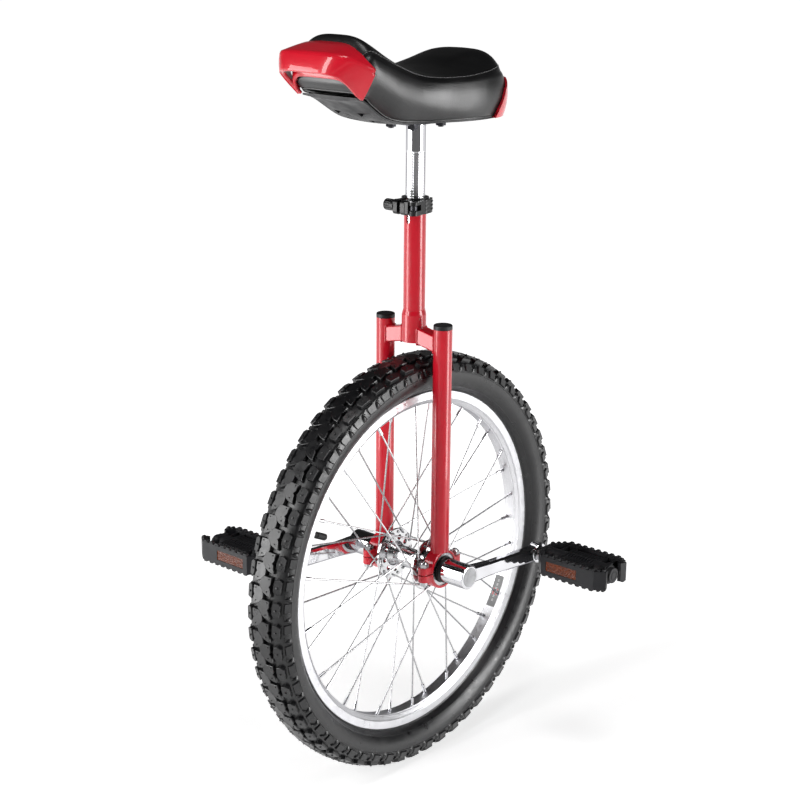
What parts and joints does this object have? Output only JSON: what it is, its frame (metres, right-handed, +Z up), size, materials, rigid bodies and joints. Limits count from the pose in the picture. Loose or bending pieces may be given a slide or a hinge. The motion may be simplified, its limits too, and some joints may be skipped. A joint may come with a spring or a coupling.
{
  "type": "unicycle",
  "caption": "Upright one-wheeled cycle with a spoked knobbly wheel, direct-drive cranks, platform pedals, forked frame and a padded saddle on a quick-release post.",
  "frame": {"origin": "on the ground, straight below the middle of the hub and of the saddle post", "axes": "+X forwards towards the saddle's nose, +Y to the rider's left, +Z up"},
  "size_m": [0.5078, 0.418, 0.8795],
  "materials": {
    "red_paint": "gloss",
    "black_plastic": "satin",
    "black_metal": "satin",
    "steel": "satin",
    "chrome": "polished",
    "cap_silver": "satin",
    "seal_rubber": "matte",
    "bronze": "machined",
    "tyre_rubber": "matte",
    "rim_aluminium": "satin",
    "saddle_foam": "open cell foam",
    "saddle_vinyl": "satin grain",
    "red_plastic": "gloss",
    "amber_lens": "gloss"
  },
  "bodies": {
    "frame": {"left_leg": "red_paint", "right_leg": "red_paint", "left_leg_cap": "black_plastic", "right_leg_cap": "black_plastic", "left_crown_bar": "red_paint", "right_crown_bar": "red_paint", "left_bearing_holder": "red_paint", "right_bearing_holder": "red_paint", "left_bearing_cap": "red_paint", "right_bearing_cap": "red_paint", "bearing_cap_bolts": "steel", "bearing_outer_races": "steel", "bearing_seals": "seal_rubber", "seat_tube": "red_paint", "seat_tube_sleeve": "red_paint", "seat_clamp_collar": "black_metal", "qr_skewer": "steel", "qr_washers": "black_metal"},
    "quick_release_lever": {"qr_lever": "black_metal", "qr_cam_pin": "steel"},
    "quick_release_nut": {"qr_nut": "black_metal"},
    "wheel": {"tyre": "tyre_rubber", "inner_tube": "seal_rubber", "rim": "rim_aluminium", "rim_tape": "seal_rubber", "spokes_left": "steel", "spokes_right": "steel", "spoke_nipples": "chrome", "valve_stem": "seal_rubber", "valve_cap": "black_plastic", "hub_shell": "chrome", "bearing_inner_races": "steel", "bearing_balls": "steel", "dust_rings": "black_metal", "axle": "steel", "left_crank": "chrome", "right_crank": "chrome", "crank_bolts": "steel", "crank_dust_caps": "cap_silver", "left_pedal_spindle": "steel", "right_pedal_spindle": "steel", "pedal_locknuts": "steel"},
    "left_pedal": {"left_pedal_body": "black_plastic", "left_pedal_reflectors": "amber_lens", "left_pedal_bushes": "bronze", "left_pedal_end_cap": "black_plastic"},
    "right_pedal": {"right_pedal_body": "black_plastic", "right_pedal_reflectors": "amber_lens", "right_pedal_bushes": "bronze", "right_pedal_end_cap": "black_plastic"},
    "seat": {"seat_post": "chrome", "seat_post_plate": "steel", "saddle_bolts": "steel", "saddle_base": "black_plastic", "saddle_foam": "saddle_foam", "saddle_cover": "saddle_vinyl", "front_bumper": "red_plastic", "rear_bumper": "red_plastic"}
  },
  "joints": [
    {"name": "wheel_spin", "type": "hinge", "parent": "frame", "child": "wheel", "pos_m": [0, 0, 0.254], "axis": [0, 1, 0], "continuous": true},
    {"name": "left_pedal_spin", "type": "hinge", "parent": "wheel", "child": "left_pedal", "pos_m": [-0.12692, 0.155, 0.24957], "axis": [0, 1, 0], "continuous": true},
    {"name": "right_pedal_spin", "type": "hinge", "parent": "wheel", "child": "right_pedal", "pos_m": [0.12692, -0.155, 0.25843], "axis": [0, 1, 0], "continuous": true},
    {"name": "seat_height", "type": "slide", "parent": "frame", "child": "seat", "axis": [0, 0, 1], "range_m": [-0.05, 0.04]},
    {"name": "quick_release_open", "type": "hinge", "parent": "frame", "child": "quick_release_lever", "pos_m": [0.0225, 0.017, 0.683], "axis": [0, 0, -1], "range_deg": [0, 160]},
    {"name": "quick_release_nut_turn", "type": "hinge", "parent": "frame", "child": "quick_release_nut", "pos_m": [0.0225, -0.018, 0.683], "axis": [0, 1, 0], "continuous": true}
  ]
}
